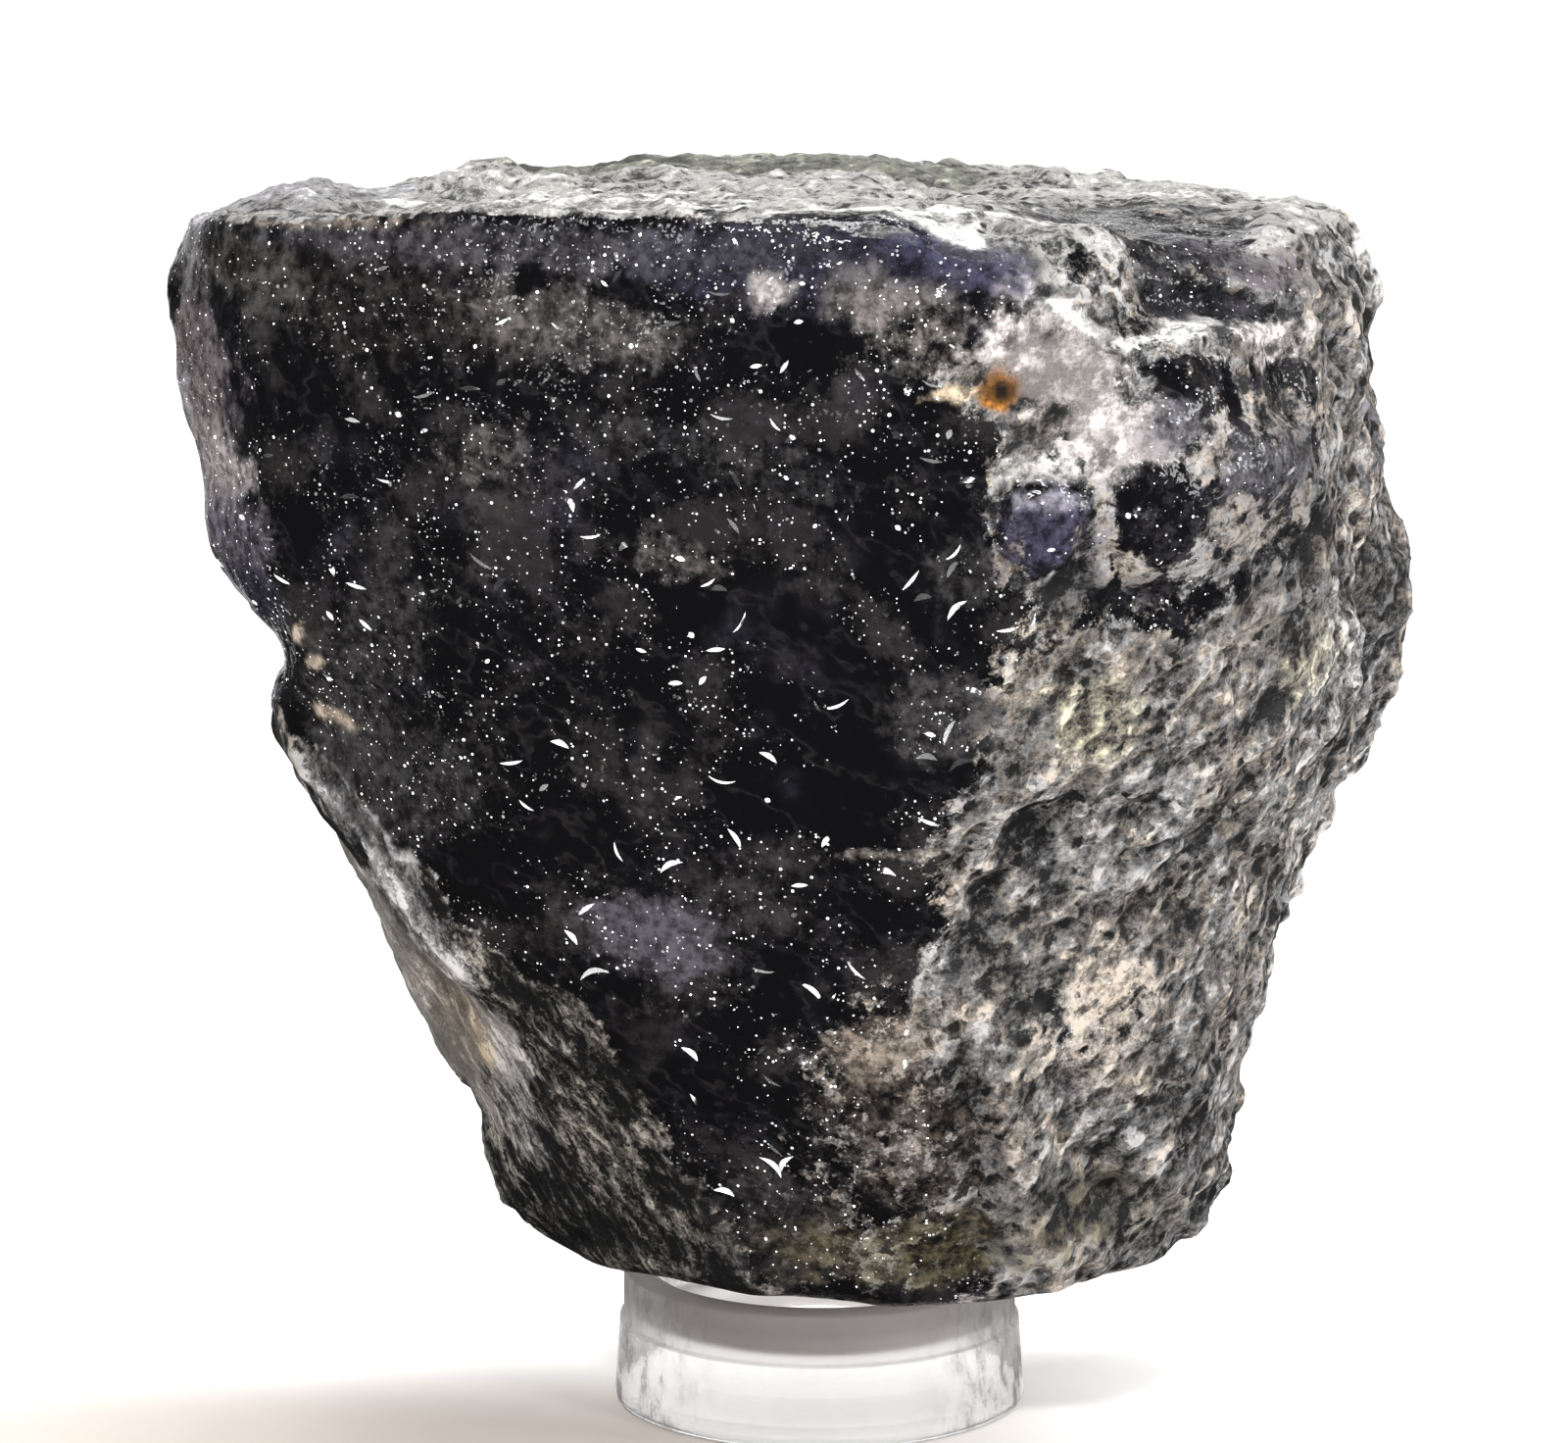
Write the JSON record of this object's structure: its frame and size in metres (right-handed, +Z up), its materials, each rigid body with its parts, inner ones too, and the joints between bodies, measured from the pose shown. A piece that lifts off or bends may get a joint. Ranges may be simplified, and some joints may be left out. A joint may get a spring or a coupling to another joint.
{
  "type": "iolite crystal on a display stand",
  "caption": "Rough wedge-shaped iolite (cordierite) crystal, near-black violet and glossy on its front, grey and pitted on its sides, upright on a round clear acrylic display stand.",
  "frame": {"origin": "centre of the display stand's underside", "axes": "+Z up; the glossy dark face of the stone looks towards -Y, and +X is to the right of that face"},
  "size_m": [0.0765, 0.0552, 0.077],
  "materials": {
    "iolite": "wet-looking glassy front face over dark violet-black stone, rough grey broken sides",
    "clear_acrylic": "clear moulded acrylic, lightly scuffed"
  },
  "bodies": {
    "root": {"iolite_crystal": "iolite", "display_stand": "clear_acrylic"}
  },
  "joints": []
}
